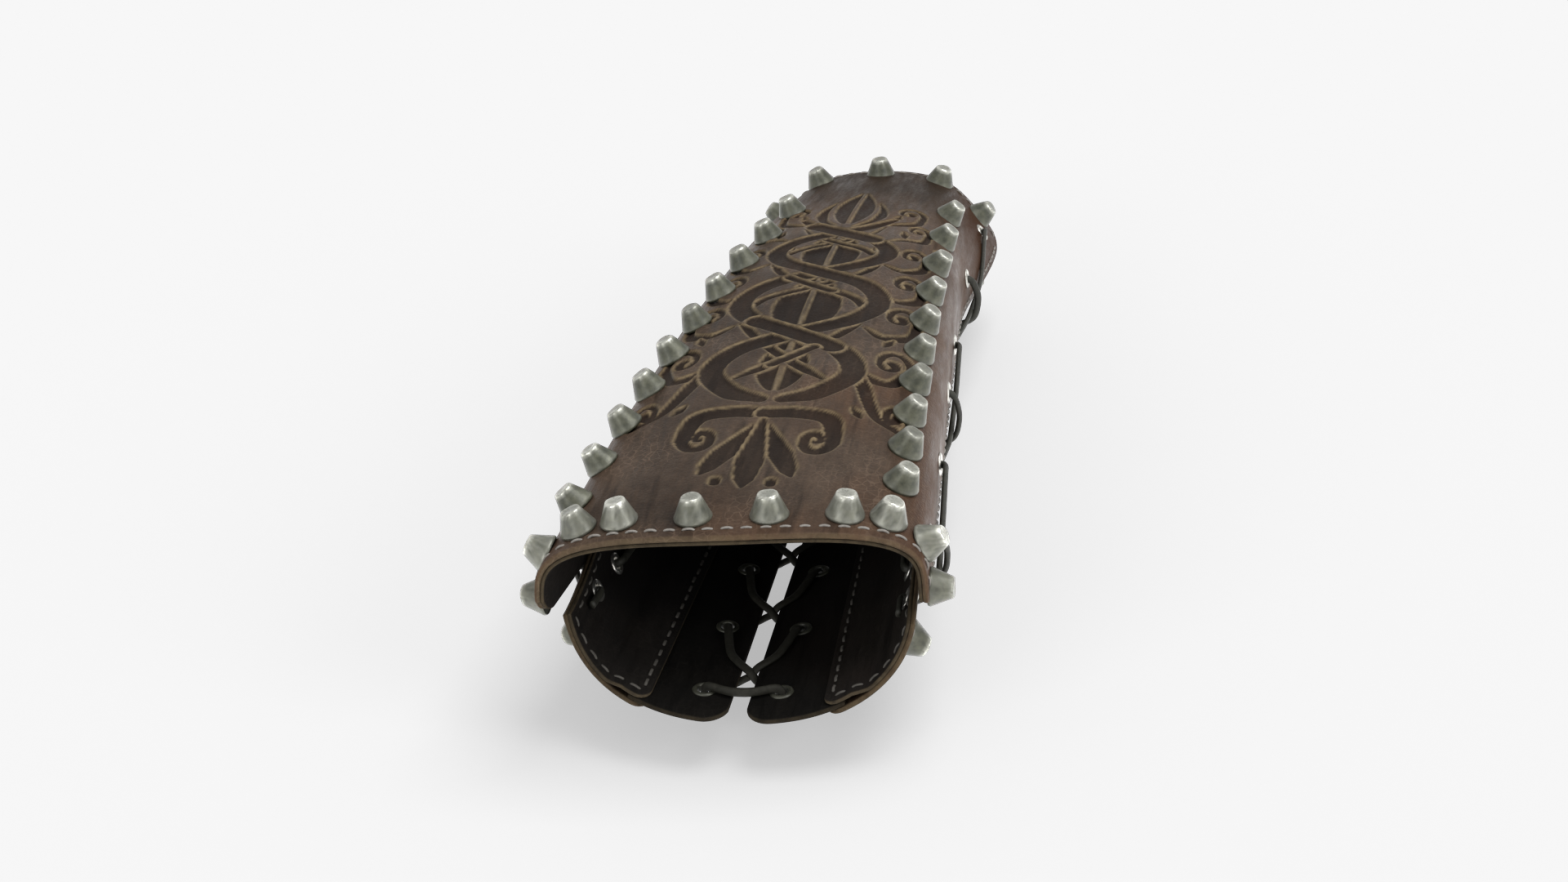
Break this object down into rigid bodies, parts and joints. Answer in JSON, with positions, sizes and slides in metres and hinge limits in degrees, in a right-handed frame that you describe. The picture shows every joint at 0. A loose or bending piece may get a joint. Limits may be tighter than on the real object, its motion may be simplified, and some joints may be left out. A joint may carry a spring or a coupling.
{
  "type": "leather bracer",
  "caption": "Studded leather forearm guard: an arched tooled plate, two side panels laced to its edges, and two soft flaps laced together under the arm.",
  "frame": {"origin": "centre of the bounding box's bottom face, under the middle of the closing lacing", "axes": "+Y along the arm from the elbow opening to the wrist opening, +Z from the lacing up to the ridge of the plate, +X to the right seen from the elbow"},
  "size_m": [0.1074, 0.3032, 0.0605],
  "materials": {
    "tooled_leather": "tooled, dyed dark brown, edges worn to tan",
    "lining_leather": "soft matte black",
    "flap_leather": "soft matte black",
    "aged_pewter": "aged, edges worn bright",
    "eyelet_steel": "satin",
    "lace_leather": "dark olive thong"
  },
  "bodies": {
    "plate": {"top_plate": "tooled_leather", "plate_lining": "lining_leather", "elbow_row_studs": "aged_pewter", "wrist_row_studs": "aged_pewter", "left_row_studs": "aged_pewter", "right_row_studs": "aged_pewter", "left_plate_eyelets": "eyelet_steel", "right_plate_eyelets": "eyelet_steel", "left_side_lace": "lace_leather", "right_side_lace": "lace_leather", "closing_lace": "lace_leather"},
    "left_side": {"left_side_panel": "tooled_leather", "left_side_lining": "lining_leather", "left_lacing_flap": "flap_leather", "left_side_studs": "aged_pewter", "left_panel_eyelets": "eyelet_steel", "left_flap_eyelets": "eyelet_steel"},
    "right_side": {"right_side_panel": "tooled_leather", "right_side_lining": "lining_leather", "right_lacing_flap": "flap_leather", "right_side_studs": "aged_pewter", "right_panel_eyelets": "eyelet_steel", "right_flap_eyelets": "eyelet_steel"}
  },
  "joints": [
    {"name": "left_side_swing", "type": "hinge", "parent": "plate", "child": "left_side", "pos_m": [-0.0379, 0, 0.02115], "axis": [0.0288, 0.9986, -0.0437], "range_deg": [0, 20], "deforming": ["left_side_lace", "closing_lace"]},
    {"name": "right_side_swing", "type": "hinge", "parent": "plate", "child": "right_side", "pos_m": [0.0379, 0, 0.02115], "axis": [0.0288, -0.9986, 0.0437], "range_deg": [0, 20], "deforming": ["right_side_lace", "closing_lace"]}
  ]
}
